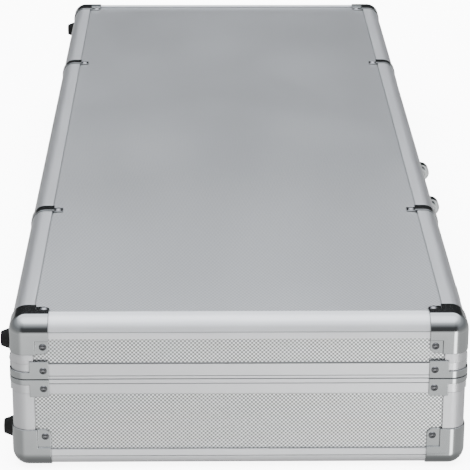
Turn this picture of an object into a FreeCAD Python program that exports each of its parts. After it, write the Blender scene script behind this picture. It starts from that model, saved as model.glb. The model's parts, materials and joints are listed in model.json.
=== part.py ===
"""Poker chip case: a flat aluminium-framed carrying case for chips laid in rows.

Millimetres.  X runs across the case (hinges and feet on -X, latches and handle on +X),
Y runs along it, Z is up.  Z = 0 is the underside of the corner caps, and the origin is
the middle of the whole object's footprint.
"""
import FreeCAD, Part
import math
import os
import re

import Sketcher
from FreeCAD import Placement, Rotation, Vector

doc = FreeCAD.newDocument("PokerChipCase")
sheet = doc.addObject("Spreadsheet::Sheet", "Sizes")

DRIVING = {
    # overall sizes of the framed box, without caps, feet and handle
    "case_width": 210.0,
    "case_length": 565.0,
    "base_height": 45.0,
    "lid_height": 28.9,
    "mate_gap": 0.4,
    # wall build-up, from the outside in
    "panel_recess": 1.0,
    "skin": 0.8,
    "board": 4.0,
    # edge extrusions
    "edge_radius": 7.2,
    "flange": 10.7,
    "upright_flange": 9.3,
    "groove_depth": 0.45,
    "groove_width": 0.3,
    "edge_groove": 5.8,
    "base_rim_groove": 2.0,
    "lid_rim_groove": 1.2,
    "rim_height": 7.2,
    "rim_web": 3.0,
    "lip_thick": 1.2,
    "lip_height": 2.5,
    "lip_play": 0.4,
    # corner caps, rim brackets and edge clips
    "cap_thick": 0.6,
    "cap_leg": 17.8,
    "cap_rise": 19.4,
    "cap_bracket_gap": 3.3,
    "cap_step": 1.0,
    "tab_play": 0.1,
    "tab_radius": 3.0,
    "tab_inset": 2.6,
    "base_tab_inset": 3.5,
    "lid_tab_inset": 3.7,
    "bracket_thick": 0.8,
    "base_bracket_band": 2.6,
    "lid_bracket_band": 3.4,
    "bracket_near": 8.8,
    "bracket_far": 17.7,
    "bracket_drop": 8.6,
    "bracket_rivet_inset": 2.5,
    "clip_width": 6.8,
    "clip_tab": 5.4,
    "clip_reach": 16.0,
    "clip_inset": 147.5,
    "clip_rivet_inset": 2.4,
    "rivet_radius": 1.75,
    "rivet_dome": 0.9,
    "rivet_hole_radius": 0.7,
    "rivet_floor": 0.3,
    # rubber feet on the hinge side
    "foot_radius": 5.1,
    "foot_tip_radius": 3.4,
    "foot_height": 5.1,
    "foot_spigot_radius": 1.7,
    "base_foot_rise": 14.4,
    "lid_foot_drop": 15.1,
    # butt hinges
    "hinge_length": 42.0,
    "hinge_spacing": 190.0,
    "hinge_leaf": 0.7,
    "hinge_leaf_height": 6.5,
    "knuckle_radius": 1.7,
    "knuckle_play": 0.15,
    "hinge_pin_radius": 0.9,
    "pin_play": 0.05,
    # draw latches
    "latch_spacing": 372.0,
    "latch_width": 28.0,
    "latch_plate": 1.2,
    "latch_pivot_out": 4.5,
    "latch_pivot_drop": 8.3,
    "lever_width": 18.0,
    "lever_drop": 18.0,
    "lever_thick": 1.6,
    "lever_barrel": 2.6,
    "bail_arm": 8.0,
    "bail_wire": 1.6,
    "bail_rise": 20.8,
    "bail_play": 0.4,
    "latch_pin_radius": 1.0,
    "bail_pin_radius": 0.7,
    "ear_thick": 1.2,
    "ear_radius": 3.0,
    "strike_height": 8.6,
    "strike_ledge": 1.5,
    "strike_reach": 5.3,
    "strike_play": 0.7,
    # carrying handle
    "handle_span": 60.0,
    "handle_out": 8.0,
    "handle_rise": 37.0,
    "handle_drop": 24.0,
    "handle_bend": 9.0,
    "handle_wire_radius": 2.6,
    "handle_eye_radius": 5.0,
    "handle_eye_width": 6.0,
    "handle_pin_radius": 1.8,
    "handle_ear": 2.2,
    "handle_ear_play": 0.3,
    "handle_plate": 1.5,
    "grip_radius": 7.0,
    "grip_length": 40.0,
    # inside
    "tray_floor": 2.0,
    "chip_slot": 39.5,
    "slots_per_side": 6.0,
    "divider": 1.0,
    "divider_height": 32.0,
    "divider_play": 0.2,
    "dice_well": 18.0,
    "pad_play": 1.0,
    "pad_gap": 4.5,
}

for row, (alias, value) in enumerate(DRIVING.items(), start=1):
    sheet.set("A%d" % row, alias)
    sheet.set("B%d" % row, str(value))
    sheet.setAlias("B%d" % row, alias)
doc.recompute()

# Named places, as formulas over the sheet's aliases.
HALF_X = "(case_width / 2)"
HALF_Y = "(case_length / 2)"
CORE = "(panel_recess + skin + board)"
FLOOR = "cap_thick"
MATE = "(cap_thick + base_height)"
LID_BOTTOM = "(cap_thick + base_height + mate_gap)"
TOP = "(cap_thick + base_height + mate_gap + lid_height)"
REACH_HINGE_SIDE = "foot_height"
REACH_HANDLE_SIDE = "(handle_out + grip_radius)"
SHIFT = "((%s - %s) / 2)" % (REACH_HINGE_SIDE, REACH_HANDLE_SIDE)
ALIASES = re.compile(r"\b(%s)\b" % "|".join(sorted(DRIVING, key=len, reverse=True)))

LID_CAP_LEG = "(lid_height - bracket_drop - cap_bracket_gap)"
TAB_DEPTH = "(panel_recess - cap_thick)"

SIDES = {"near": ("y", -1), "far": ("y", 1), "hinge": ("x", -1), "latch": ("x", 1)}
QUARTERS = [(x_sign, y_sign) for x_sign in (-1, 1) for y_sign in (-1, 1)]
FACINGS = {
    "-x": Rotation(Vector(0, 1, 0), -90), "+x": Rotation(Vector(0, 1, 0), 90),
    "-y": Rotation(Vector(1, 0, 0), 90), "+y": Rotation(Vector(1, 0, 0), -90),
    "-z": Rotation(Vector(1, 0, 0), 180), "+z": Rotation(),
}
nodes = []
placed_across = {}


def qualified(formula):
    """The formula as FreeCAD reads it, with each alias looked up in the sheet."""
    return ALIASES.sub(r"Sizes.\1", str(formula))


def value(alias):
    """A driving dimension's present value."""
    return float(sheet.get(alias))


def bind(target, **formulas):
    for name, formula in formulas.items():
        target.setExpression(name, qualified(formula))


def place(target, point):
    """Bind the three coordinates of the target's position."""
    placed_across[target.Name] = point[0]
    for axis, formula in zip("xyz", point):
        target.setExpression("Placement.Base." + axis, qualified(formula))


def inward(half, sign, start, stop):
    """The span from start to stop, measured inward from the face at sign * half."""
    if sign < 0:
        return "-%s + (%s)" % (half, start), "-%s + (%s)" % (half, stop)
    return "%s - (%s)" % (half, stop), "%s - (%s)" % (half, start)


def inward_z(half_case, start, stop):
    """The same from the bottom face of the base or the top face of the lid."""
    if half_case == "base":
        return "%s + (%s)" % (FLOOR, start), "%s + (%s)" % (FLOOR, stop)
    return "%s - (%s)" % (TOP, stop), "%s - (%s)" % (TOP, start)


def corners(x_span, y_span, z_span):
    """Two opposite corners from three spans."""
    return tuple(zip(x_span, y_span, z_span))


def size_box(box, low, high):
    for size, first, last in zip(("Length", "Width", "Height"), low, high):
        box.setExpression(size, qualified("(%s) - (%s)" % (last, first)))
    place(box, low)
    return box


def block(name, low, high):
    """A plain box between two corners."""
    return size_box(doc.addObject("Part::Box", name), low, high)


def combine(kind, name, *operands):
    """A boolean of existing objects: Cut takes two, MultiFuse and MultiCommon any number."""
    result = doc.addObject("Part::" + kind, name)
    if kind == "Cut":
        result.Base, result.Tool = operands
    else:
        result.Shapes = list(operands)
    return result


def node(label, *pieces):
    """Name a sub-part; several pieces become one group of separate solids."""
    if len(pieces) == 1:
        subpart = pieces[0]
    else:
        subpart = doc.addObject("Part::Compound", label)
        subpart.Links = list(pieces)
    subpart.Label = label
    nodes.append(subpart)
    return subpart


class Carved:
    """A PartDesign body made of boxes and cylinders added and cut in order."""

    def __init__(self, name, body=None):
        self.body = body or doc.addObject("PartDesign::Body", name)
        self.count = 0

    def feature(self, kind):
        self.count += 1
        return self.body.newObject("PartDesign::" + kind, "%s_%d" % (self.body.Name, self.count))

    def add(self, low, high):
        size_box(self.feature("AdditiveBox"), low, high)
        return self

    def cut(self, low, high):
        size_box(self.feature("SubtractiveBox"), low, high)
        return self

    def rod(self, kind, radius, start, length, axis):
        """A cylinder along +X, +Y or +Z from the point start."""
        cylinder = self.feature(kind)
        bind(cylinder, Radius=radius, Height=length)
        cylinder.Placement = Placement(Vector(), FACINGS["+" + axis])
        place(cylinder, start)
        return self

    def add_rod(self, radius, start, length, axis):
        return self.rod("AdditiveCylinder", radius, start, length, axis)

    def cut_rod(self, radius, start, length, axis):
        return self.rod("SubtractiveCylinder", radius, start, length, axis)

    def round(self, radius, chosen):
        """Round each edge for which chosen(edge) is true."""
        doc.recompute()
        base = self.body.Tip
        names = ["Edge%d" % (i + 1) for i, edge in enumerate(base.Shape.Edges) if chosen(edge)]
        fillet = self.feature("Fillet")
        fillet.Base = (base, names)
        bind(fillet, Radius=radius)
        return self


def along(edge, axis):
    """True for a straight edge parallel to the axis."""
    start, end = edge.Vertexes[0].Point, edge.Vertexes[-1].Point
    run = end - start
    return run.Length > 0 and abs(abs(getattr(run, axis)) - run.Length) < 1e-6


def middle(edge):
    return edge.BoundBox.Center


def nearest_to_outside(shape_edges, axis, spot):
    """The edge parallel to the axis whose middle is nearest to the spot, its own axis left out."""
    def gap(edge):
        offset = middle(edge) - spot
        setattr(offset, axis, 0)
        return offset.Length
    return min((edge for edge in shape_edges if along(edge, axis)), key=gap)


def round_one(carved, radius, axis, spot):
    """Round the one edge along the axis that lies nearest to the spot."""
    doc.recompute()
    target = middle(nearest_to_outside(carved.body.Tip.Shape.Edges, axis, spot))
    return carved.round(radius, lambda edge: along(edge, axis) and (middle(edge) - target).Length < 1e-6)


def everything(reach):
    """Corners of the whole framed case, grown by reach on every side."""
    spans = (("-%s - (%s)" % (half, reach), "%s + (%s)" % (half, reach)) for half in (HALF_X, HALF_Y))
    return corners(*spans, ("%s - (%s)" % (FLOOR, reach), "%s + (%s)" % (TOP, reach)))


def rounded_case(name, reach):
    """The case's outside as one rounded block, grown by reach."""
    shape = Carved(name).add(*everything(reach))
    shape.round("edge_radius + (%s)" % reach, lambda edge: True)
    return shape.body


frame_outside = rounded_case("frame_outside", "0")
cap_outside = rounded_case("cap_outside", "cap_thick")
bracket_outside = rounded_case("bracket_outside", "bracket_thick")


def case_corner(x_sign, y_sign, half_case):
    """The sharp outer corner of the framed case, as a point."""
    z = value("cap_thick")
    if half_case == "lid":
        z += value("base_height") + value("mate_gap") + value("lid_height")
    return Vector(x_sign * value("case_width") / 2, y_sign * value("case_length") / 2, z)


# ---------------------------------------------------------------- boards and skins

def layer(half_case, start, stop):
    """Bottom or top panel layer, lying between the two edge extrusions' webs."""
    x_span = ("-%s + %s" % (HALF_X, CORE), "%s - %s" % (HALF_X, CORE))
    y_span = ("-%s + %s" % (HALF_Y, CORE), "%s - %s" % (HALF_Y, CORE))
    return corners(x_span, y_span, inward_z(half_case, start, stop))


def wall_layer(half_case, side, start, stop):
    """A layer of one upright wall, between the corner posts and the two extrusions."""
    axis, sign = SIDES[side]
    half_along = HALF_Y if axis == "x" else HALF_X
    length = ("-%s + %s" % (half_along, CORE), "%s - %s" % (half_along, CORE))
    if half_case == "base":
        z_span = ("%s + %s" % (FLOOR, CORE), "%s - rim_web" % MATE)
    else:
        z_span = ("%s + rim_web" % LID_BOTTOM, "%s - %s" % (TOP, CORE))
    if axis == "x":
        return corners(inward(HALF_X, sign, start, stop), length, z_span)
    return corners(length, inward(HALF_Y, sign, start, stop), z_span)


def make_walls(half_case, face):
    skin_depth = ("panel_recess", "panel_recess + skin")
    board_depth = ("panel_recess + skin", CORE)
    for kind, depth in (("skin", skin_depth), ("board", board_depth)):
        label = "%s_%s_%s" % (half_case, face, kind)
        node(label, block(label, *layer(half_case, *depth)))
        for side in SIDES:
            label = "%s_%s_side_%s" % (half_case, side, kind)
            node(label, block(label, *wall_layer(half_case, side, *depth)))


# ---------------------------------------------------------------- edge extrusions

def edge_trim(half_case, side):
    """An angle extrusion along one long or short edge, with a web that holds two boards."""
    axis, sign = SIDES[side]
    label = "%s_%s_edge" % (half_case, side)
    if axis == "y":
        length = ("-" + HALF_X, HALF_X)
        def spans(out, up):
            return corners(length, inward(HALF_Y, sign, *out), inward_z(half_case, *up))
    else:
        length = ("-%s + flange" % HALF_Y, "%s - flange" % HALF_Y)
        def spans(out, up):
            return corners(inward(HALF_X, sign, *out), length, inward_z(half_case, *up))
    trim = Carved(label + "_bar").add(*spans(("0", "flange"), ("0", "upright_flange")))
    trim.cut(*spans((CORE, "flange"), ("panel_recess", "upright_flange")))
    trim.cut(*spans(("panel_recess", "flange"), (CORE, "upright_flange")))
    if axis == "x":
        round_one(trim, "edge_radius", "y", case_corner(sign, sign, half_case))
    trim.cut(*spans(("0", "groove_depth"), ("edge_groove", "edge_groove + groove_width")))
    if axis == "x":
        return node(label, trim.body)
    return node(label, combine("MultiCommon", label, trim.body, frame_outside))


def corner_post(half_case, x_sign, y_sign):
    """An upright angle at one corner, from the edge extrusion to the rim."""
    if half_case == "base":
        z_span = ("%s + upright_flange" % FLOOR, "%s - rim_height" % MATE)
    else:
        z_span = ("%s + rim_height" % LID_BOTTOM, "%s - upright_flange" % TOP)

    def spans(x_depth, y_depth):
        return corners(inward(HALF_X, x_sign, *x_depth), inward(HALF_Y, y_sign, *y_depth), z_span)

    name = "%s_post_%s" % (half_case, corner_name(x_sign, y_sign))
    post = Carved(name).add(*spans(("0", "flange"), ("0", "flange")))
    post.cut(*spans((CORE, "flange"), ("panel_recess", "flange")))
    post.cut(*spans(("panel_recess", "flange"), (CORE, "flange")))
    return round_one(post, "edge_radius", "z", case_corner(x_sign, y_sign, half_case)).body


def corner_name(x_sign, y_sign):
    return "%s_%s" % ("near" if y_sign < 0 else "far", "hinge" if x_sign < 0 else "latch")


def ring(x_depth, y_depth, z_span):
    """Corners of a block inset from the case's sides and ends by two depths."""
    x_span = ("-%s + (%s)" % (HALF_X, x_depth), "%s - (%s)" % (HALF_X, x_depth))
    y_span = ("-%s + (%s)" % (HALF_Y, y_depth), "%s - (%s)" % (HALF_Y, y_depth))
    return corners(x_span, y_span, z_span)


def rim(half_case):
    """The mating extrusion round one half: outer flange, web and, on the base, a lip."""
    if half_case == "base":
        whole = ("%s - rim_height" % MATE, MATE)
        channel = (whole[0], "%s - rim_web" % MATE)
        web_depth = CORE
    else:
        whole = (LID_BOTTOM, "%s + rim_height" % LID_BOTTOM)
        channel = ("%s + rim_web" % LID_BOTTOM, whole[1])
        web_depth = "%s - lip_thick - lip_play" % CORE
    shape = Carved("%s_rim" % half_case).add(*ring("0", "0", whole))
    shape.round("edge_radius", lambda edge: along(edge, "z"))
    shape.cut(*ring("panel_recess", CORE, channel))
    shape.cut(*ring(CORE, "panel_recess", channel))
    shape.cut(*ring(web_depth, web_depth, whole))
    if half_case == "base":
        lip_span = ("%s - rim_web" % MATE, "%s + lip_height" % MATE)
        groove = ("%s - base_rim_groove - groove_width" % MATE, "%s - base_rim_groove" % MATE)
        lip_depth = "%s - lip_thick" % CORE
        shape.add(*ring(lip_depth, lip_depth, lip_span))
        shape.cut(*ring(CORE, CORE, lip_span))
    else:
        groove = ("%s + lid_rim_groove" % LID_BOTTOM, "%s + lid_rim_groove + groove_width" % LID_BOTTOM)
    for axis, sign in SIDES.values():
        depth = inward(HALF_X if axis == "x" else HALF_Y, sign, "0", "groove_depth")
        half_along = HALF_Y if axis == "x" else HALF_X
        length = ("-%s + edge_radius" % half_along, "%s - edge_radius" % half_along)
        shape.cut(*corners(*((depth, length) if axis == "x" else (length, depth)), groove))
    return node("%s_rim" % half_case, shape.body)


# ---------------------------------------------------------------- corner caps, brackets, clips

def tab(name, plate_corners, outer_layer, thin_axis, away_from):
    """A riveted tab lying on the panel, with a root up to the raised part and a rounded free corner."""
    plate = Carved(name).add(*plate_corners).cut(*outer_layer)
    doc.recompute()
    edges = [edge for edge in plate.body.Tip.Shape.Edges if along(edge, thin_axis)]
    free = max(edges, key=lambda edge: (middle(edge) - away_from).Length)
    target = middle(free)
    return plate.round("tab_radius", lambda edge: (middle(edge) - target).Length < 1e-6).body


def hug(name, outside, raised, tabs):
    """A pressed piece that wraps the frame's outside where raised says, plus its flat tabs."""
    strips = combine("MultiFuse", name + "_strips", *raised) if len(raised) > 1 else raised[0]
    wrapped = combine("MultiCommon", name + "_wrapped", strips, outside)
    shell = combine("Cut", name + "_shell", wrapped, frame_outside)
    if not tabs:
        return shell
    return combine("MultiFuse", name, shell, *tabs)


def corner_cap(half_case, x_sign, y_sign):
    """Pressed cap: a strip over each of the three edges and a riveted tab on each face."""
    name = "%s_cap_%s" % (half_case, corner_name(x_sign, y_sign))
    leg_z = "cap_rise" if half_case == "base" else LID_CAP_LEG
    out = "-cap_thick"

    def spans(x_depth, y_depth, z_depth):
        return corners(inward(HALF_X, x_sign, *x_depth), inward(HALF_Y, y_sign, *y_depth),
                       inward_z(half_case, *z_depth))

    wide = (out, "flange + cap_step")
    tall = (out, "upright_flange + cap_step")
    raised = [
        block(name + "_along_x", *spans((out, "cap_leg"), wide, tall)),
        block(name + "_along_y", *spans(wide, (out, "cap_leg"), tall)),
        block(name + "_along_z", *spans(wide, wide, (out, leg_z))),
    ]
    side, past_side = ("flange + tab_play", "cap_leg"), (wide[1], "cap_leg")
    up, past_up = ("upright_flange + tab_play", leg_z), (tall[1], leg_z)
    deep, shallow = ("0", "panel_recess"), ("0", TAB_DEPTH)
    spot = case_corner(x_sign, y_sign, half_case)
    tabs = [
        tab(name + "_tab_x", spans(deep, side, up), spans(shallow, past_side, past_up), "x", spot),
        tab(name + "_tab_y", spans(side, deep, up), spans(past_side, shallow, past_up), "y", spot),
        tab(name + "_tab_z", spans(side, side, deep), spans(past_side, past_side, shallow), "z", spot),
    ]
    return hug(name, cap_outside, raised, tabs)


def rim_bracket(half_case, x_sign, y_sign):
    """A band round the corner at the mating line with a riveted tab on each face."""
    name = "%s_bracket_%s" % (half_case, corner_name(x_sign, y_sign))
    out = "-bracket_thick"
    if half_case == "base":
        band = ("%s - base_bracket_band" % MATE, MATE)
        drop = ("%s - bracket_drop" % MATE, MATE)
    else:
        band = (LID_BOTTOM, "%s + lid_bracket_band" % LID_BOTTOM)
        drop = (LID_BOTTOM, "%s + bracket_drop" % LID_BOTTOM)

    def spans(x_depth, y_depth, z_span):
        return corners(inward(HALF_X, x_sign, *x_depth), inward(HALF_Y, y_sign, *y_depth), z_span)

    tab_span = ("bracket_near", "bracket_far")
    raised = [
        block(name + "_band", *spans((out, "bracket_near + 1"), (out, "bracket_near + 1"), band)),
        block(name + "_tab_x", *spans((out, "panel_recess"), tab_span, drop)),
        block(name + "_tab_y", *spans(tab_span, (out, "panel_recess"), drop)),
    ]
    return hug(name, bracket_outside, raised, [])


def edge_clip(half_case, x_sign, y_sign):
    """A strap over a long edge, with a narrower riveted tab on the panel and a leg down the side."""
    name = "%s_clip_%s" % (half_case, corner_name(x_sign, y_sign))
    centre = "(%d) * (%s - clip_inset)" % (y_sign, HALF_Y)

    def spans(x_depth, width, z_depth):
        y_span = ("%s - (%s) / 2" % (centre, width), "%s + (%s) / 2" % (centre, width))
        return corners(inward(HALF_X, x_sign, *x_depth), y_span, inward_z(half_case, *z_depth))

    out = "-cap_thick"
    strap = spans((out, "flange + cap_step"), "clip_width", (out, "upright_flange"))
    inner = Carved(name + "_tab")
    inner.add(*spans(("flange + tab_play", "clip_reach"), "clip_tab", ("0", "panel_recess")))
    inner.cut(*spans(("flange + cap_step", "clip_reach"), "clip_tab", ("0", TAB_DEPTH)))
    return hug(name, cap_outside, [block(name + "_strap", *strap)], [inner.body])


# ---------------------------------------------------------------- rivets and feet

DOME = "((rivet_radius * rivet_radius + rivet_dome * rivet_dome) / (2 * rivet_dome))"


def rivet(name, facing, point):
    """A domed blind rivet head, hollow at its centre, on a face that looks towards facing."""
    head = doc.addObject("Part::Sphere", name)
    bind(head, Radius=DOME, Angle1="asin(1 - rivet_dome / %s)" % DOME)
    head.Placement = Placement(Vector(), FACINGS[facing])
    sunk = "(%s - rivet_dome)" % DOME
    axis = "xyz".index(facing[1])
    seat = list(point)
    seat[axis] = "%s %s %s" % (seat[axis], "+" if facing[0] == "-" else "-", sunk)
    place(head, seat)
    hole = doc.addObject("Part::Cylinder", name + "_hole")
    bind(hole, Radius="rivet_hole_radius", Height="rivet_dome")
    hole.Placement = Placement(Vector(), FACINGS[facing])
    hole_floor = list(point)
    hole_floor[axis] = "%s %s rivet_floor" % (hole_floor[axis], facing[0])
    place(hole, hole_floor)
    return combine("Cut", name + "_hollow", head, hole)


def signed(sign):
    return "+" if sign > 0 else "-"


def cap_spots(half_case, x_sign, y_sign):
    """Facing and seat of the cap's three rivets: on the X, Y and Z faces."""
    x_in = "(%d) * (%s - cap_leg + tab_inset)" % (x_sign, HALF_X)
    y_in = "(%d) * (%s - cap_leg + tab_inset)" % (y_sign, HALF_Y)
    x_face = "(%d) * (%s - %s)" % (x_sign, HALF_X, TAB_DEPTH)
    y_face = "(%d) * (%s - %s)" % (y_sign, HALF_Y, TAB_DEPTH)
    if half_case == "base":
        z_in = "%s + cap_rise - base_tab_inset" % FLOOR
        z_face, z_facing = "%s + %s" % (FLOOR, TAB_DEPTH), "-z"
    else:
        z_in = "%s - %s + lid_tab_inset" % (TOP, LID_CAP_LEG)
        z_face, z_facing = "%s - %s" % (TOP, TAB_DEPTH), "+z"
    return [
        (signed(x_sign) + "x", (x_face, y_in, z_in)),
        (signed(y_sign) + "y", (x_in, y_face, z_in)),
        (z_facing, (x_in, y_in, z_face)),
    ]


def bracket_spots(half_case, x_sign, y_sign):
    """Facing and seat of the two rivets of a rim bracket."""
    inset = "(bracket_far - bracket_rivet_inset)"
    if half_case == "base":
        z_in = "%s - bracket_drop / 2" % MATE
    else:
        z_in = "%s + bracket_drop / 2" % LID_BOTTOM
    x_in = "(%d) * (%s - %s)" % (x_sign, HALF_X, inset)
    y_in = "(%d) * (%s - %s)" % (y_sign, HALF_Y, inset)
    return [
        (signed(x_sign) + "x", ("(%d) * (%s + bracket_thick)" % (x_sign, HALF_X), y_in, z_in)),
        (signed(y_sign) + "y", (x_in, "(%d) * (%s + bracket_thick)" % (y_sign, HALF_Y), z_in)),
    ]


def clip_spot(half_case, x_sign, y_sign):
    """Facing and seat of an edge clip's rivet, on the clip's tab."""
    x_in = "(%d) * (%s - clip_reach + clip_rivet_inset)" % (x_sign, HALF_X)
    y_in = "(%d) * (%s - clip_inset)" % (y_sign, HALF_Y)
    if half_case == "base":
        return "-z", (x_in, y_in, "%s + %s" % (FLOOR, TAB_DEPTH))
    return "+z", (x_in, y_in, "%s - %s" % (TOP, TAB_DEPTH))


def make_rivets(half_case):
    """Rivets of one half; on the hinge side a rubber foot takes the cap rivet's place."""
    heads, feet = [], []
    for x_sign, y_sign in QUARTERS:
        where = corner_name(x_sign, y_sign)
        spots = cap_spots(half_case, x_sign, y_sign) + bracket_spots(half_case, x_sign, y_sign)
        spots.append(clip_spot(half_case, x_sign, y_sign))
        if x_sign < 0:
            spots.pop(0)
            feet.append(foot(half_case, y_sign))
        for number, (facing, point) in enumerate(spots):
            heads.append(rivet("%s_rivet_%s_%d" % (half_case, where, number), facing, point))
    node("%s_rivets" % half_case, *heads)
    node("%s_feet" % half_case, *feet)


def foot(half_case, y_sign):
    """A rubber foot: a truncated cone standing out towards -X, with a spigot down to the cap's tab."""
    y = "(%d) * (%s - cap_leg + tab_inset)" % (y_sign, HALF_Y)
    z = "%s + base_foot_rise" % FLOOR if half_case == "base" else "%s - lid_foot_drop" % TOP
    raised = "-%s - cap_thick" % HALF_X
    body = Carved("%s_foot_%s" % (half_case, "near" if y_sign < 0 else "far"))
    body.add_rod("foot_spigot_radius", (raised, y, z), "panel_recess", "x")
    cone = body.feature("AdditiveCone")
    bind(cone, Radius1="foot_radius", Radius2="foot_tip_radius", Height="foot_height - cap_thick")
    cone.Placement = Placement(Vector(), FACINGS["-x"])
    place(cone, (raised, y, z))
    return body.body


def make_half(half_case, face):
    make_walls(half_case, face)
    for side in SIDES:
        edge_trim(half_case, side)
    node("%s_corner_posts" % half_case, *[corner_post(half_case, *quarter) for quarter in QUARTERS])
    rim(half_case)
    node("%s_corner_caps" % half_case, *[corner_cap(half_case, *quarter) for quarter in QUARTERS])
    node("%s_rim_brackets" % half_case, *[rim_bracket(half_case, *quarter) for quarter in QUARTERS])
    node("%s_edge_clips" % half_case, *[edge_clip(half_case, *quarter) for quarter in QUARTERS])
    make_rivets(half_case)


# ---------------------------------------------------------------- hinges

HINGE_X = "(-%s - hinge_leaf - knuckle_play - knuckle_radius)" % HALF_X
HINGE_Z = "(%s + mate_gap / 2)" % MATE


def hinge_leaf(half_case, centre):
    """A leaf on the rim's outer face with its knuckles: two on the base, one on the lid."""
    name = "hinge_%s_leaf_%d" % (half_case, len(doc.Objects))
    third = "(hinge_length / 3)"
    half = "(hinge_length / 2)"
    if half_case == "base":
        leaf_z = ("%s - hinge_leaf_height" % MATE, "%s - knuckle_play" % MATE)
        web_z = ("%s - knuckle_radius" % HINGE_Z, HINGE_Z)
        inner = "%s / 2 + knuckle_play" % third
        runs = [("-" + half, "-(%s)" % inner), (inner, half)]
    else:
        leaf_z = ("%s + knuckle_play" % LID_BOTTOM, "%s + hinge_leaf_height" % LID_BOTTOM)
        web_z = (HINGE_Z, "%s + knuckle_radius" % HINGE_Z)
        runs = [("-%s / 2" % third, "%s / 2" % third)]
    leaf_x = ("-%s - hinge_leaf" % HALF_X, "-" + HALF_X)
    web_x = (HINGE_X, "-%s - hinge_leaf / 2" % HALF_X)
    y_span = ("%s - %s" % (centre, half), "%s + %s" % (centre, half))
    leaf = Carved(name).add(*corners(leaf_x, y_span, leaf_z))
    for start, stop in runs:
        run = ("%s + (%s)" % (centre, start), "%s + (%s)" % (centre, stop))
        leaf.add(*corners(web_x, run, web_z))
        leaf.add_rod("knuckle_radius", (HINGE_X, run[0], HINGE_Z), "(%s) - (%s)" % (stop, start), "y")
    leaf.cut_rod("hinge_pin_radius + pin_play", (HINGE_X, y_span[0], HINGE_Z), "hinge_length", "y")
    return leaf.body


def hinge_pin(centre):
    pin = Carved("hinge_pin_%d" % len(doc.Objects))
    pin.add_rod("hinge_pin_radius", (HINGE_X, "%s - hinge_length / 2" % centre, HINGE_Z), "hinge_length", "y")
    return pin.body


def make_hinges():
    centres = ["(%d) * hinge_spacing" % step for step in (-1, 0, 1)]
    for half_case in ("base", "lid"):
        node("hinge_%s_leaves" % half_case, *[hinge_leaf(half_case, centre) for centre in centres])
    node("hinge_pins", *[hinge_pin(centre) for centre in centres])


# ---------------------------------------------------------------- latches

LATCH_X = "(%s + latch_pivot_out)" % HALF_X
LATCH_Z = "(%s - latch_pivot_drop)" % MATE
BAIL_Z = "(%s - bail_arm)" % LATCH_Z
BAR_Z = "(%s + bail_rise)" % BAIL_Z
EAR_IN = "(lever_width / 2 + bail_play)"
BAIL_IN = "(%s + ear_thick + bail_play)" % EAR_IN


def about(centre, start, stop):
    return "%s + (%s)" % (centre, start), "%s + (%s)" % (centre, stop)


def to_one_side(centre, sign, inner, outer):
    """The span from inner to outer, measured from the centre towards sign."""
    if sign > 0:
        return about(centre, inner, outer)
    return about(centre, "-" + outer, "-" + inner)


def latch_plate(name, centre):
    """Plate riveted to the base, with two ears that carry the lever's pin."""
    face = "%s + latch_plate" % HALF_X
    wide = about(centre, "-latch_width / 2", "latch_width / 2")
    bottom = "%s - lever_drop" % LATCH_Z
    plate = Carved(name).add(*corners((HALF_X, face), wide, (bottom, "%s - knuckle_play" % MATE)))
    plate.add(*corners(("%s - panel_recess" % HALF_X, HALF_X), wide, (bottom, "%s - rim_height" % MATE)))
    for sign in (-1, 1):
        ear = to_one_side(centre, sign, EAR_IN, "(%s + ear_thick)" % EAR_IN)
        plate.add(*corners((face, LATCH_X), ear, about(LATCH_Z, "-ear_radius", "ear_radius")))
        plate.add_rod("ear_radius", (LATCH_X, ear[0], LATCH_Z), "ear_thick", "y")
    plate.cut_rod("latch_pin_radius", (LATCH_X, wide[0], LATCH_Z), "latch_width", "y")
    return plate.body


def latch_strike(name, centre):
    """Plate riveted to the lid, with the ledge that the bail's bar pulls down on."""
    face = "%s + latch_plate" % HALF_X
    wide = about(centre, "-latch_width / 2", "latch_width / 2")
    top = "%s + strike_height" % LID_BOTTOM
    strike = Carved(name).add(*corners((HALF_X, face), wide, ("%s + knuckle_play" % LID_BOTTOM, top)))
    strike.add(*corners(("%s - panel_recess" % HALF_X, HALF_X), wide, ("%s + rim_height" % LID_BOTTOM, top)))
    ledge_top = "%s - bail_wire / 2 - strike_play" % BAR_Z
    ledge = about(centre, "-lever_width / 2", "lever_width / 2")
    ledge_z = ("%s - strike_ledge" % ledge_top, ledge_top)
    strike.add(*corners((face, "%s + strike_reach" % face), ledge, ledge_z))
    return strike.body


def latch_lever(name, centre):
    """Lever that hangs from its pin; its foot is flared for a finger."""
    wide = about(centre, "-lever_width / 2", "lever_width / 2")
    plate_x = ("%s + lever_barrel - lever_thick" % LATCH_X, "%s + lever_barrel" % LATCH_X)
    tip = ("%s - lever_drop" % LATCH_Z, "%s - lever_drop + lever_thick" % LATCH_Z)
    lever = Carved(name).add_rod("lever_barrel", (LATCH_X, wide[0], LATCH_Z), "lever_width", "y")
    lever.add(*corners(plate_x, wide, (tip[0], LATCH_Z)))
    lever.add(*corners((plate_x[0], "%s + lever_barrel + lever_thick" % LATCH_X), wide, tip))
    for sign in (-1, 1):
        cheek = to_one_side(centre, sign, "(lever_width / 2 - lever_thick)", "(lever_width / 2)")
        cheek_z = about(BAIL_Z, "-lever_thick", "bail_arm")
        lever.add(*corners(("%s - lever_thick" % LATCH_X, plate_x[1]), cheek, cheek_z))
    lever.cut_rod("latch_pin_radius + pin_play", (LATCH_X, wide[0], LATCH_Z), "lever_width", "y")
    lever.cut_rod("bail_pin_radius + pin_play", (LATCH_X, wide[0], BAIL_Z), "lever_width", "y")
    return lever.body


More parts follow.
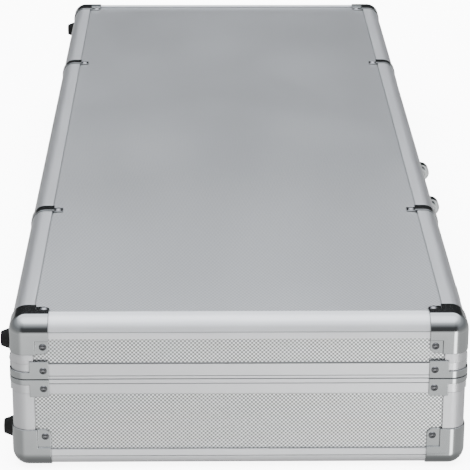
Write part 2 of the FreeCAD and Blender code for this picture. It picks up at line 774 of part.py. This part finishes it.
def latch_bail(name, centre):
    """Loop that links the lever to the strike: two legs, a bar and two inward pins."""
    half_wire = "bail_wire / 2"
    wire_x = ("%s - %s" % (LATCH_X, half_wire), "%s + %s" % (LATCH_X, half_wire))
    outer = "(%s + bail_wire)" % BAIL_IN
    legs_z = ("%s - bail_wire" % BAIL_Z, "%s + %s" % (BAR_Z, half_wire))
    bar = about(centre, "-" + outer, outer)
    bail = Carved(name).add(*corners(wire_x, bar, about(BAR_Z, "-" + half_wire, half_wire)))
    pin_length = "(%s - lever_width / 2 + lever_thick + %s)" % (BAIL_IN, half_wire)
    for sign in (-1, 1):
        leg = to_one_side(centre, sign, BAIL_IN, outer)
        bail.add(*corners(wire_x, leg, legs_z))
        middle_of_pin = "%s + (%d) * (%s + %s - %s / 2)" % (centre, sign, BAIL_IN, half_wire, pin_length)
        start = "%s - %s / 2" % (middle_of_pin, pin_length)
        bail.add_rod("bail_pin_radius", (LATCH_X, start, BAIL_Z), pin_length, "y")
    return bail.body


def latch_pin(name, centre):
    length = "(lever_width + 2 * bail_play + 2 * ear_thick)"
    pin = Carved(name)
    pin.add_rod("latch_pin_radius", (LATCH_X, "%s - %s / 2" % (centre, length), LATCH_Z), length, "y")
    return pin.body


def make_latches():
    places = {"near": "(-latch_spacing / 2)", "far": "(latch_spacing / 2)"}
    node("latch_plates", *[latch_plate("latch_plate_" + end, at) for end, at in places.items()])
    node("latch_strikes", *[latch_strike("latch_strike_" + end, at) for end, at in places.items()])
    node("latch_pins", *[latch_pin("latch_pin_" + end, at) for end, at in places.items()])
    for end, at in places.items():
        node("%s_latch_lever" % end, latch_lever("%s_latch_lever" % end, at))
        node("%s_latch_bail" % end, latch_bail("%s_latch_bail" % end, at))


# ---------------------------------------------------------------- handle

HANDLE_X = "(%s + handle_out)" % HALF_X
HANDLE_Z = "(%s + handle_rise)" % FLOOR


def handle_bracket(name, sign):
    """Plate on the panel with two ears either side of the handle's eye."""
    centre = "(%d) * handle_span / 2" % sign
    gap = "(handle_eye_width / 2 + handle_ear_play)"
    outer = "(%s + handle_ear)" % gap
    wide = about(centre, "-" + outer, outer)
    plate_x = ("%s - panel_recess" % HALF_X, "%s - panel_recess + handle_plate" % HALF_X)
    plate_z = ("%s - 2 * handle_eye_radius" % HANDLE_Z, "%s - rim_height" % MATE)
    bracket = Carved(name).add(*corners(plate_x, wide, plate_z))
    for start, stop in (("-" + outer, "-" + gap), (gap, outer)):
        ear = about(centre, start, stop)
        ear_z = about(HANDLE_Z, "-handle_pin_radius * 2", "handle_pin_radius * 2")
        bracket.add(*corners((plate_x[1], HANDLE_X), ear, ear_z))
        bracket.add_rod("handle_pin_radius * 2", (HANDLE_X, ear[0], HANDLE_Z), "handle_ear", "y")
    bracket.cut_rod("handle_pin_radius", (HANDLE_X, wide[0], HANDLE_Z), "2 * %s" % outer, "y")
    return bracket.body


def handle_pin(name, sign):
    centre = "(%d) * handle_span / 2" % sign
    length = "(handle_eye_width + 2 * handle_ear_play + 2 * handle_ear)"
    pin = Carved(name)
    pin.add_rod("handle_pin_radius", (HANDLE_X, "%s - %s / 2" % (centre, length), HANDLE_Z), length, "y")
    return pin.body


def pin_down(sketch, geometry, end, across, up):
    """Fix one end of a sketch line at a point given by two formulas."""
    for kind, formula in (("DistanceX", across), ("DistanceY", up)):
        index = sketch.addConstraint(Sketcher.Constraint(kind, -1, 1, geometry, end, 1.0))
        sketch.setExpression("Constraints[%d]" % index, qualified(formula))


def origin_plane(body, role):
    return next(plane for plane in body.Origin.OriginFeatures if plane.Role == role)


def handle_path(body):
    """Centre line of the bail: down from one eye, along the bottom and up to the other eye."""
    path = body.newObject("Sketcher::SketchObject", "handle_path")
    path.AttachmentSupport = (origin_plane(body, "YZ_Plane"), "")
    path.MapMode = "FlatFace"
    half, drop, bend = value("handle_span") / 2, value("handle_drop"), value("handle_bend")

    def line(start, end):
        return path.addGeometry(Part.LineSegment(Vector(*start, 0), Vector(*end, 0)))

    def quarter(centre, turns):
        circle = Part.Circle(Vector(*centre, 0), Vector(0, 0, 1), bend)
        return path.addGeometry(Part.ArcOfCircle(circle, turns * math.pi / 2, (turns + 1) * math.pi / 2))

    down = line((-half, 0), (-half, bend - drop))
    first = quarter((bend - half, bend - drop), 2)
    level = line((bend - half, -drop), (half - bend, -drop))
    second = quarter((half - bend, bend - drop), 3)
    up = line((half, bend - drop), (half, 0))
    for one, other in ((down, first), (first, level), (level, second), (second, up)):
        path.addConstraint(Sketcher.Constraint("Tangent", one, 2, other, 1))
    pin_down(path, down, 1, "-handle_span / 2", "0")
    pin_down(path, up, 2, "handle_span / 2", "0")
    path.addConstraint(Sketcher.Constraint("Vertical", down))
    path.addConstraint(Sketcher.Constraint("Vertical", up))
    path.addConstraint(Sketcher.Constraint("Horizontal", level))
    path.addConstraint(Sketcher.Constraint("Equal", first, second))
    sized = {"handle_bend": Sketcher.Constraint("Radius", first, bend),
             "-handle_drop": Sketcher.Constraint("DistanceY", -1, 1, level, 1, -drop)}
    for formula, constraint in sized.items():
        path.setExpression("Constraints[%d]" % path.addConstraint(constraint), qualified(formula))
    return path


def handle_section(body):
    """The rod's round section at the first eye."""
    section = body.newObject("Sketcher::SketchObject", "handle_section")
    section.AttachmentSupport = (origin_plane(body, "XY_Plane"), "")
    section.MapMode = "FlatFace"
    middle_point = Vector(0, -value("handle_span") / 2, 0)
    radius = value("handle_wire_radius")
    circle = section.addGeometry(Part.Circle(middle_point, Vector(0, 0, 1), radius))
    pin_down(section, circle, 3, "0", "-handle_span / 2")
    width = section.addConstraint(Sketcher.Constraint("Radius", circle, radius))
    section.setExpression("Constraints[%d]" % width, qualified("handle_wire_radius"))
    return section


def handle_bail():
    """Bent rod with an eye at each end."""
    body = doc.addObject("PartDesign::Body", "handle_bail")
    place(body, (HANDLE_X, "0", HANDLE_Z))
    path, section = handle_path(body), handle_section(body)
    doc.recompute()
    pipe = body.newObject("PartDesign::AdditivePipe", "handle_rod")
    pipe.Profile = section
    pipe.Spine = (path, ["Edge%d" % (i + 1) for i in range(len(path.Shape.Edges))])
    bail = Carved("handle_bail", body)
    eyes = [("0", "(%d) * handle_span / 2 - handle_eye_width / 2" % sign, "0") for sign in (-1, 1)]
    for eye in eyes:
        bail.add_rod("handle_eye_radius", eye, "handle_eye_width", "y")
    for eye in eyes:
        bail.cut_rod("handle_pin_radius + pin_play", eye, "handle_eye_width", "y")
    return body


def handle_grip():
    """Moulded sleeve on the straight part of the bail."""
    start = (HANDLE_X, "-grip_length / 2", "%s - handle_drop" % HANDLE_Z)
    grip = Carved("handle_grip").add_rod("grip_radius", start, "grip_length", "y")
    grip.round("grip_radius / 3", lambda edge: len(edge.Vertexes) == 1)
    grip.cut_rod("handle_wire_radius", start, "grip_length", "y")
    return grip.body


def make_handle():
    ends = {"near": -1, "far": 1}
    node("handle_brackets", *[handle_bracket("handle_bracket_" + end, sign) for end, sign in ends.items()])
    node("handle_pins", *[handle_pin("handle_pin_" + end, sign) for end, sign in ends.items()])
    node("handle_bail", handle_bail())
    node("handle_grip", handle_grip())


# ---------------------------------------------------------------- inside

IN_X = "(%s - %s)" % (HALF_X, CORE)
IN_Y = "(%s - %s)" % (HALF_Y, CORE)
TRAY_TOP = "(%s + %s + tray_floor)" % (FLOOR, CORE)
DIVIDER_X = "(%s - divider_play)" % IN_X
BAY_Y = "(%s - slots_per_side * (chip_slot + divider))" % IN_Y


def make_tray():
    """Lined floor, the dividers between rows of chips, and two dividers across the middle bay."""
    low = ("-" + IN_X, "-" + IN_Y, "%s + %s" % (FLOOR, CORE))
    node("tray_floor", block("tray_floor", low, (IN_X, IN_Y, TRAY_TOP)))
    strips = []
    high = "%s + divider_height" % TRAY_TOP
    for end, sign in (("near", -1), ("far", 1)):
        for number in range(1, int(value("slots_per_side")) + 1):
            far_edge = "%d * (chip_slot + divider)" % number
            y_span = inward(IN_Y, sign, "%s - divider" % far_edge, far_edge)
            low_high = corners(("-" + DIVIDER_X, DIVIDER_X), y_span, (TRAY_TOP, high))
            strips.append(block("row_divider_%s_%d" % (end, number), *low_high))
    node("row_dividers", *strips)
    walls = []
    for name, sign in (("hinge", -1), ("latch", 1)):
        y_span = ("-%s + divider_play" % BAY_Y, "%s - divider_play" % BAY_Y)
        x_span = to_one_side("0", sign, "(dice_well / 2)", "(dice_well / 2 + divider)")
        walls.append(block("bay_divider_" + name, *corners(x_span, y_span, (TRAY_TOP, high))))
    node("bay_dividers", *walls)


def make_pad():
    """Foam pad glued inside the lid; it stops just above the chips."""
    low = ("-%s + pad_play" % IN_X, "-%s + pad_play" % IN_Y, "%s + pad_gap" % LID_BOTTOM)
    high = ("%s - pad_play" % IN_X, "%s - pad_play" % IN_Y, "%s - %s" % (TOP, CORE))
    node("lid_foam_pad", block("lid_foam_pad", low, high))


# ---------------------------------------------------------------- build, check and write

def shift_to_footprint():
    """Move every sub-part so that the origin is the middle of the whole footprint."""
    for subpart in nodes:
        across = placed_across.get(subpart.Name, "0")
        subpart.setExpression("Placement.Base.x", qualified("(%s) + %s" % (across, SHIFT)))


def check_document():
    doc.recompute()
    for item in doc.Objects:
        if "Invalid" in item.State or "Error" in item.State:
            raise RuntimeError("%s failed: %s" % (item.Label, item.State))
    for subpart in nodes:
        if subpart.Shape.isNull() or not subpart.Shape.isValid() or not subpart.Shape.Solids:
            raise RuntimeError("%s has no valid solid" % subpart.Label)


make_half("base", "bottom")
make_half("lid", "top")
make_hinges()
make_latches()
make_handle()
make_tray()
make_pad()
shift_to_footprint()
check_document()

os.makedirs("parts", exist_ok=True)
for subpart in nodes:
    subpart.Shape.exportStep("parts/%s.step" % subpart.Label)
    print("%-24s solids %2d volume %10.1f" % (subpart.Label, len(subpart.Shape.Solids), subpart.Shape.Volume))
print("%d nodes" % len(nodes))
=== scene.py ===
"""Looks of the poker chip case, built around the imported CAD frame.  Metres, same frame as the CAD."""
import json
import math

import bmesh
import bpy
from mathutils import Matrix, Vector


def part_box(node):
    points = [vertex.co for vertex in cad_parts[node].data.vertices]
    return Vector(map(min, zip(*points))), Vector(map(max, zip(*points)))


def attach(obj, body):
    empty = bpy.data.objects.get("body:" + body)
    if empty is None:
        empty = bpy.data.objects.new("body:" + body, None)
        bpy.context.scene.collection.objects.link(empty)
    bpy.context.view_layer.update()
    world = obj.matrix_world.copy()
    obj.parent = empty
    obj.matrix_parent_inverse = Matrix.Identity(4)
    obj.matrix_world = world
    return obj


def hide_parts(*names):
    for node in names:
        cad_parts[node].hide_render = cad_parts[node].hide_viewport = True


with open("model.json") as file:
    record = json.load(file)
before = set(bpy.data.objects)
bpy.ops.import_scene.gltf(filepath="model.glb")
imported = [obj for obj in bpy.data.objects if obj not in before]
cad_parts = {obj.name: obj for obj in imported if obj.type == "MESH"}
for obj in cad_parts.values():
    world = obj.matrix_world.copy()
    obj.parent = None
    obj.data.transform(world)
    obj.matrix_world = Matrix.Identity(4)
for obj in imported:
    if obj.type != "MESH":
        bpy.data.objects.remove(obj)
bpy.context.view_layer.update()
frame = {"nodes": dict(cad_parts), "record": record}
NODES = frame["nodes"]
MM = 0.001


# ---------------------------------------------------------------- node tree helpers

class Nodes:
    """Short calls for adding nodes to one tree."""

    def __init__(self, tree):
        self.tree = tree

    def node(self, kind, inputs=None, **settings):
        made = self.tree.nodes.new(kind)
        for name, value in settings.items():
            setattr(made, name, value)
        for name, value in (inputs or {}).items():
            if isinstance(value, bpy.types.NodeSocket):
                self.tree.links.new(value, made.inputs[name])
            else:
                made.inputs[name].default_value = value
        return made

    def math(self, operation, *values):
        return self.node("ShaderNodeMath", dict(enumerate(values)), operation=operation).outputs[0]

    def step(self, value, start, stop):
        """Smoothly from 0 at start to 1 at stop."""
        made = self.node("ShaderNodeMapRange", {"Value": value, "From Min": start, "From Max": stop},
                         interpolation_type="SMOOTHSTEP")
        return made.outputs[0]

    def mix(self, factor, first, second):
        made = self.node("ShaderNodeMix", {"Factor": factor, "A": first, "B": second}, data_type="RGBA")
        return made.outputs["Result"]


class Shader(Nodes):
    """A material's node tree, with the textures used here."""

    def __init__(self, name):
        self.material = bpy.data.materials.new(name)
        self.material.use_nodes = True
        super().__init__(self.material.node_tree)
        self.principled = self.tree.nodes["Principled BSDF"]

    def set(self, **values):
        for name, value in values.items():
            self.principled.inputs[name.replace("_", " ")].default_value = value
        return self

    def feed(self, name, source):
        self.tree.links.new(source, self.principled.inputs[name])

    def place(self):
        return self.node("ShaderNodeTexCoord").outputs["Object"]

    def scaled(self, x, y, z):
        """Object coordinates multiplied axis by axis."""
        return self.node("ShaderNodeMapping", {"Vector": self.place(), "Scale": (x, y, z)}).outputs[0]

    def noise(self, vector, scale, detail=3.0, roughness=0.5):
        made = self.node("ShaderNodeTexNoise",
                         {"Vector": vector, "Scale": scale, "Detail": detail, "Roughness": roughness})
        return made.outputs["Fac"]

    def remap(self, value, low, high, to_low, to_high):
        span = {"Value": value, "From Min": low, "From Max": high, "To Min": to_low, "To Max": to_high}
        return self.node("ShaderNodeMapRange", span).outputs[0]

    def blend(self, factor, first, second):
        return self.mix(factor, (*first, 1), (*second, 1))

    def painted_occlusion_shade(self, colour, dark, reach):
        """The colour with painted shade: darkened by ambient occlusion in corners, grooves and round
        rivets.
        """
        openness = self.node("ShaderNodeAmbientOcclusion", {"Distance": reach}, samples=12).outputs["AO"]
        return self.mix(self.remap(openness, 0.25, 0.95, 0.0, 1.0), (*dark, 1), colour)

    def bump(self, height, strength, distance, normal=None):
        inputs = {"Height": height, "Strength": strength, "Distance": distance}
        if normal is not None:
            inputs["Normal"] = normal
        return self.node("ShaderNodeBump", inputs).outputs["Normal"]


# ---------------------------------------------------------------- materials

X, Y, Z = 0, 1, 2
DIMPLE_PITCH = 1.86 * MM
# painted highlight colour for the tops of the dimples
DOT_HIGHLIGHT_COLOUR = (0.98, 0.985, 0.985)
RIB_PITCH = 3.2 * MM


def satin_aluminium(name, grain, smoothest, roughest, tone):
    """Anodised extrusion; grain stretches its fine lines along one axis; tone sets a grey level that
    differs per copy as painted light and shade.
    """
    shader = Shader(name).set(Metallic=1.0)
    lines = shader.noise(shader.scaled(*grain), 1.0, detail=4.0)
    cloud = shader.noise(shader.scaled(30, 12, 30), 1.0)
    metal = shader.blend(cloud, (tone, tone, tone + 0.01), (tone + 0.06, tone + 0.06, tone + 0.07))
    # painted shade: base colour darkened by ambient occlusion in corners and grooves
    shader.feed("Base Color", shader.painted_occlusion_shade(metal, (0.42, 0.42, 0.43), 0.8 * MM))
    shader.feed("Roughness", shader.remap(lines, 0.3, 0.7, smoothest, roughest))
    shader.feed("Normal", shader.bump(lines, 0.35, 0.05 * MM))
    return shader.material


def dimpled_sheet(name, across, up, between, relief):
    """Sheet with raised dots on a staggered lattice in the plane of two axes; the dot tops carry a
    painted highlight and the ground between them painted shade.
    """
    shader = Shader(name).set(Metallic=1.0)
    axes = shader.node("ShaderNodeSeparateXYZ", {"Vector": shader.place()}).outputs
    turn = 2 * math.pi / DIMPLE_PITCH
    waves = [shader.math("COSINE", shader.math("MULTIPLY", axes[axis], turn)) for axis in (across, up)]
    lattice = shader.math("MULTIPLY", *waves)
    dots = shader.step(lattice, -0.3, 0.3)
    cloud = shader.noise(shader.scaled(18, 9, 18), 1.0)
    # painted highlight on the dot tops over painted shade between them
    metal = shader.blend(dots, between, DOT_HIGHLIGHT_COLOUR)
    # painted shade: base colour darkened by ambient occlusion in recesses and along panel edges
    shader.feed("Base Color", shader.painted_occlusion_shade(metal, (0.22, 0.22, 0.22), 1.0 * MM))
    shader.feed("Roughness", shader.remap(cloud, 0.3, 0.7, 0.285, 0.31))
    shader.feed("Normal", shader.bump(dots, relief, 0.15 * MM))
    return shader.material


def chrome(name, low, high):
    shader = Shader(name).set(Metallic=1.0)
    smear = shader.noise(shader.scaled(60, 60, 60), 1.0, detail=2.0)
    scuffs = shader.noise(shader.place(), 700.0, detail=5.0)
    metal = shader.blend(smear, low, high)
    # painted shade: base colour darkened by ambient occlusion around tabs and rivets
    shader.feed("Base Color", shader.painted_occlusion_shade(metal, (0.16, 0.16, 0.16), 0.5 * MM))
    shader.feed("Roughness", shader.remap(scuffs, 0.35, 0.7, 0.09, 0.11))
    return shader.material


def steel():
    shader = Shader("steel").set(Metallic=1.0, Roughness=0.3)
    turned = shader.noise(shader.scaled(900, 60, 900), 1.0)
    shader.feed("Base Color", shader.blend(turned, (0.5, 0.5, 0.52), (0.66, 0.66, 0.67)))
    return shader.material


def rubber():
    shader = Shader("rubber").set(Roughness=0.7, Specular_IOR_Level=0.12)
    grain = shader.noise(shader.place(), 2500.0)
    shader.feed("Base Color", shader.blend(grain, (0.001, 0.001, 0.001), (0.004, 0.004, 0.004)))
    shader.feed("Normal", shader.bump(grain, 0.3, 0.05 * MM))
    return shader.material


def plastic():
    shader = Shader("grip_plastic")
    grain = shader.noise(shader.place(), 1800.0)
    along = shader.node("ShaderNodeSeparateXYZ", {"Vector": shader.place()}).outputs[Y]
    ribs = shader.math("COSINE", shader.math("MULTIPLY", along, 2 * math.pi / RIB_PITCH))
    shader.feed("Base Color", shader.blend(grain, (0.010, 0.010, 0.011), (0.022, 0.022, 0.024)))
    shader.feed("Roughness", shader.remap(grain, 0.3, 0.7, 0.38, 0.52))
    shader.feed("Normal", shader.bump(grain, 0.25, 0.06 * MM, shader.bump(ribs, 0.8, 0.4 * MM)))
    return shader.material


def flock():
    shader = Shader("flocked_lining").set(Roughness=0.95, Sheen_Weight=0.35, Sheen_Roughness=0.4)
    pile = shader.noise(shader.place(), 5200.0, detail=2.0)
    shader.feed("Base Color", shader.blend(pile, (0.006, 0.006, 0.007), (0.022, 0.022, 0.024)))
    shader.feed("Normal", shader.bump(pile, 0.5, 0.15 * MM))
    return shader.material


def foam():
    shader = Shader("lid_foam").set(Roughness=0.95, Sheen_Weight=0.2)
    voronoi = shader.node("ShaderNodeTexVoronoi", {"Vector": shader.place(), "Scale": 1500.0})
    cells = voronoi.outputs["Distance"]
    shader.feed("Base Color", shader.blend(cells, (0.008, 0.008, 0.009), (0.040, 0.040, 0.043)))
    shader.feed("Normal", shader.bump(cells, 0.6, 0.25 * MM))
    return shader.material


FINE, LONG = 4000.0, 25.0
# The copies of one satin aluminium get different tones: painted light and shade for how the near and far
# frames, sides, posts and rims catch the light.
satin = {
    "x": satin_aluminium("satin_along_x", (LONG, FINE, FINE), 0.60, 0.70, 0.87),
    "y": satin_aluminium("satin_along_y", (FINE, LONG, FINE), 0.34, 0.42, 0.73),
    "z": satin_aluminium("satin_along_z", (FINE, FINE, LONG), 0.48, 0.58, 0.70),
    "rim": satin_aluminium("satin_rims", (FINE, LONG, FINE), 0.34, 0.42, 0.63),
}
# The ground between the dots is lighter on the flat panels than on the ends and sides: painted light and
# shade for how each facing catches the light.
dimples = {
    "flat": dimpled_sheet("dimples_flat", X, Y, (0.60, 0.61, 0.63), 0.2),
    "end": dimpled_sheet("dimples_end", X, Z, (0.25, 0.255, 0.25), 0.8),
    "side": dimpled_sheet("dimples_side", Y, Z, (0.25, 0.255, 0.25), 0.8),
}
plain = {
    "chrome_hardware": chrome("chrome", (0.37, 0.382, 0.382), (0.44, 0.452, 0.452)),
    "steel_pins": steel(), "black_rubber": rubber(), "grip_plastic": plastic(),
    "flocked_lining": flock(), "lid_foam": foam(),
}
plain["lined_board"] = plain["flocked_lining"]
# Rivets get a darker copy of the chrome: painted shade for the dark reflections in their domes.
rivet_shaded_chrome = chrome("rivet_shaded_chrome", (0.16, 0.16, 0.165), (0.30, 0.30, 0.31))
SLOT_OF = {entry["node"]: entry["material_slot"] for entry in frame["record"]["subparts"]}


def facing(node):
    """Which way a panel of the case lies, from its name."""
    if "top" in node or "bottom" in node:
        return "flat"
    return "end" if "near_" in node or "far_" in node else "side"


def finish_of(node):
    slot = SLOT_OF[node]
    if slot == "dimpled_sheet":
        return dimples[facing(node)]
    if slot == "satin_aluminium":
        if "posts" in node:
            return satin["z"]
        if node.endswith("_rim"):
            return satin["rim"]
        return satin["x"] if "near" in node or "far" in node else satin["y"]
    if node.endswith("_rivets"):
        return rivet_shaded_chrome
    return plain[slot]


for name, thing in NODES.items():
    for material_slot in thing.material_slots:
        material_slot.material = finish_of(name)


# ---------------------------------------------------------------- softened edges

# millimetres
EDGE_WIDTHS = {
    "corner_caps": 0.45, "rim_brackets": 0.25, "edge_clips": 0.25, "corner_posts": 0.15,
    "rim": 0.12, "edge": 0.15, "latch_plates": 0.3, "latch_strikes": 0.3,
    "latch_lever": 0.5, "latch_bail": 0.6, "handle_brackets": 0.4, "handle_bail": 0.4,
    "base_leaves": 0.2, "lid_leaves": 0.2, "row_dividers": 0.35, "bay_dividers": 0.35, "feet": 0.4,
}


def soften(thing, width):
    """Round a sub-part's sharp edges with modifiers, leaving its own mesh as it is."""
    weld = thing.modifiers.new("weld", "WELD")
    weld.merge_threshold = 0.002 * MM
    flat = thing.modifiers.new("flat", "DECIMATE")
    flat.decimate_type = "DISSOLVE"
    flat.angle_limit = math.radians(1.0)
    bevel = thing.modifiers.new("bevel", "BEVEL")
    bevel.width = width
    bevel.segments = 3
    bevel.limit_method = "ANGLE"
    bevel.angle_limit = math.radians(32)
    bevel.use_clamp_overlap = True
    normals = thing.modifiers.new("normals", "WEIGHTED_NORMAL")
    normals.keep_sharp = False


for name, thing in NODES.items():
    for ending, width in EDGE_WIDTHS.items():
        if name.endswith("_" + ending) or name == ending:
            soften(thing, width * MM)


# ---------------------------------------------------------------- foam in the lid

WAVE = 22.0 * MM
WAVE_DEPTH = 7.0 * MM
FOAM_STEP = 3.5 * MM
FOAM_EDGE = 7.0 * MM


def foam_height(x, y, low, high):
    """Height of the convoluted face: staggered rounded peaks, pulled in near the pad's edges."""
    wave = math.cos(2 * math.pi * x / WAVE) * math.cos(2 * math.pi * y / WAVE)
    valley = WAVE_DEPTH * (0.5 - 0.5 * wave)
    inside = min(x - low[0], high[0] - x, y - low[1], high[1] - y)
    edge = max(0.0, 1.0 - inside / FOAM_EDGE)
    pulled = FOAM_EDGE * (1.0 - math.sqrt(1.0 - edge * edge))
    return low[2] + valley + pulled


def make_foam():
    """Convoluted pad glued inside the lid, built over the space of its CAD solid."""
    low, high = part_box("lid_foam_pad")
    across = round((high[0] - low[0]) / FOAM_STEP)
    along = round((high[1] - low[1]) / FOAM_STEP)
    mesh = bmesh.new()
    face = []
    for i in range(across + 1):
        x = low[0] + (high[0] - low[0]) * i / across
        row = []
        for j in range(along + 1):
            y = low[1] + (high[1] - low[1]) * j / along
            row.append(mesh.verts.new((x, y, foam_height(x, y, low, high))))
        face.append(row)
    for i in range(across):
        for j in range(along):
            mesh.faces.new((face[i][j], face[i][j + 1], face[i + 1][j + 1], face[i + 1][j]))
    border = ([row[0] for row in face] + face[-1][1:] + [row[-1] for row in reversed(face[:-1])]
              + list(reversed(face[0][1:-1])))
    back = [mesh.verts.new((vertex.co.x, vertex.co.y, high[2])) for vertex in border]
    for k in range(len(border)):
        after = (k + 1) % len(border)
        mesh.faces.new((border[k], border[after], back[after], back[k]))
    mesh.faces.new(back)
    bmesh.ops.recalc_face_normals(mesh, faces=mesh.faces)
    data = bpy.data.meshes.new("convoluted_foam")
    mesh.to_mesh(data)
    mesh.free()
    data.polygons.foreach_set("use_smooth", [len(polygon.vertices) == 4 for polygon in data.polygons])
    data.materials.append(plain["lid_foam"])
    pad = bpy.data.objects.new("convoluted_foam", data)
    bpy.context.scene.collection.objects.link(pad)
    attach(pad, "lid")
    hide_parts("lid_foam_pad")


make_foam()


# ---------------------------------------------------------------- studio

FLOOR_SIZE = 12.0
# what the metals reflect at each height: sine of the elevation, radiance
NEAR_PROFILE = (
    (-1.00, 0.35), (-0.75, 0.60), (-0.50, 1.15), (-0.36, 1.65), (-0.20, 1.65), (-0.06, 1.10),
    (0.02, 0.12), (0.42, 0.14), (0.62, 0.55), (0.80, 1.40), (0.92, 3.70), (1.00, 4.50),
)
FAR_PROFILE = (
    (-1.00, 0.35), (-0.45, 0.80), (-0.06, 0.50),
    (0.02, 0.04), (0.46, 0.06), (0.54, 2.60), (0.66, 3.60), (0.82, 3.00), (1.00, 4.50),
)
SIDE_PROFILE = (
    (-1.00, 0.15), (-0.60, 0.60), (-0.30, 0.90), (0.00, 0.48),
    (0.30, 0.42), (0.60, 0.80), (0.80, 1.80), (1.00, 4.50),
)
WORLD_PEAK = 4.5
LAMP_AZIMUTH = math.radians(23)
LAMP_GAIN = 1.2
FROM_BELOW = (0.985, 0.995, 1.0, 1)
FROM_ABOVE = (0.915, 0.95, 1.0, 1)
SUN_TOWARDS = (0.15, 0.1, -1.0)
SUN_ANGLE = math.radians(70)
SUN_STRENGTH = 9.0
# camera: focal length in millimetres, then metres from the middle of the base rim's near end
LENS = 165.35
FROM_RIM = (-0.01596, -0.90272, 0.41487)
DOWN, TURN, ROLL = math.radians(20.864), math.radians(-0.877), math.radians(0.176)


def add_floor():
    bpy.ops.mesh.primitive_plane_add(size=FLOOR_SIZE, location=(0, 0, 0))
    floor = bpy.context.object
    floor.name = "floor"
    floor.visible_glossy = False
    shader = Shader("floor").set(Roughness=0.9, Base_Color=(0.92, 0.92, 0.92, 1),
                                 Emission_Color=(1, 1, 1, 1), Emission_Strength=7.0)
    floor.data.materials.append(shader.material)


def add_sun():
    """Broad light for the matt surfaces only; the metals are lit by what they reflect."""
    light = bpy.data.lights.new("overhead", "SUN")
    light.energy = SUN_STRENGTH
    light.angle = SUN_ANGLE
    thing = bpy.data.objects.new("overhead", light)
    bpy.context.scene.collection.objects.link(thing)
    thing.rotation_euler = Vector(SUN_TOWARDS).to_track_quat("-Z", "Y").to_euler()
    thing.visible_glossy = False


class World(Nodes):
    """The studio as a function of direction."""

    def __init__(self):
        world = bpy.data.worlds.new("studio")
        bpy.context.scene.world = world
        world.use_nodes = True
        super().__init__(world.node_tree)
        self.background = self.tree.nodes["Background"]
        self.direction = self.node("ShaderNodeTexCoord").outputs["Generated"]

    def towards(self, vector):
        made = self.node("ShaderNodeVectorMath", {0: self.direction, 1: vector}, operation="DOT_PRODUCT")
        return made.outputs["Value"]

    def ramp(self, factor, stops):
        """Grey levels along the elevation; a ramp holds 0 to 1, so they are divided by WORLD_PEAK."""
        made = self.node("ShaderNodeValToRGB", {"Fac": factor})
        while len(made.color_ramp.elements) < len(stops):
            made.color_ramp.elements.new(0.5)
        for element, (sine, radiance) in zip(made.color_ramp.elements, stops):
            element.position = (sine + 1) / 2
            element.color = (*[radiance / WORLD_PEAK] * 3, 1)
        return made.outputs["Color"]

    def walls(self, height):
        """Dark walls at the two ends and lighter ones at the sides, under a bright ceiling."""
        to_ramp = {"Value": height, "From Min": -1.0, "From Max": 1.0}
        lifted = self.node("ShaderNodeMapRange", to_ramp).outputs[0]
        sideways = self.step(self.math("ABSOLUTE", self.towards((1, 0, 0))), 0.35, 0.75)
        is_far = self.step(self.towards((0, 1, 0)), -0.2, 0.2)
        ends = self.mix(is_far, self.ramp(lifted, NEAR_PROFILE), self.ramp(lifted, FAR_PROFILE))
        return self.mix(sideways, ends, self.ramp(lifted, SIDE_PROFILE))

    def strip_lamp(self, height):
        """An upright strip of light near one corner, reaching from the horizon some way down."""
        to_lamp = (math.sin(LAMP_AZIMUTH), -math.cos(LAMP_AZIMUTH), 0)
        beside_lamp = (math.cos(LAMP_AZIMUTH), math.sin(LAMP_AZIMUTH), 0)
        off_lamp = self.math("ABSOLUTE", self.towards(beside_lamp))
        limits = (
            self.step(off_lamp, 0.22, 0.06), self.step(self.towards(to_lamp), 0.4, 0.6),
            self.step(height, -0.04, -0.12), self.step(height, -0.80, -0.60),
        )
        lamp = limits[0]
        for limit in limits[1:]:
            lamp = self.math("MULTIPLY", lamp, limit)
        return self.math("MULTIPLY", lamp, LAMP_GAIN)


def add_world():
    world = World()
    height = world.towards((0, 0, 1))
    total = world.math("ADD", world.walls(height), world.strip_lamp(height))
    world.tree.links.new(world.math("MULTIPLY", total, WORLD_PEAK), world.background.inputs["Strength"])
    tint = world.mix(world.step(height, -0.1, 0.3), FROM_BELOW, FROM_ABOVE)
    world.tree.links.new(tint, world.background.inputs["Color"])


def add_camera():
    """Straight along the case from above one short end, with a long lens."""
    rim_low, rim_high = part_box("base_rim")
    bracket_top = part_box("base_rim_brackets")[1][2]
    camera = bpy.data.cameras.new("camera")
    camera.sensor_width = 36.0
    camera.lens = LENS
    thing = bpy.data.objects.new("camera", camera)
    bpy.context.scene.collection.objects.link(thing)
    middle_of_rim = Vector(((rim_low[0] + rim_high[0]) / 2, rim_low[1], bracket_top))
    thing.location = middle_of_rim + Vector(FROM_RIM)
    aim = Matrix.Rotation(TURN, 3, "Z") @ Matrix.Rotation(math.pi / 2 - DOWN, 3, "X")
    thing.rotation_euler = (aim @ Matrix.Rotation(ROLL, 3, "Z")).to_euler()
    bpy.context.scene.camera = thing


add_floor()
add_world()
add_sun()
add_camera()
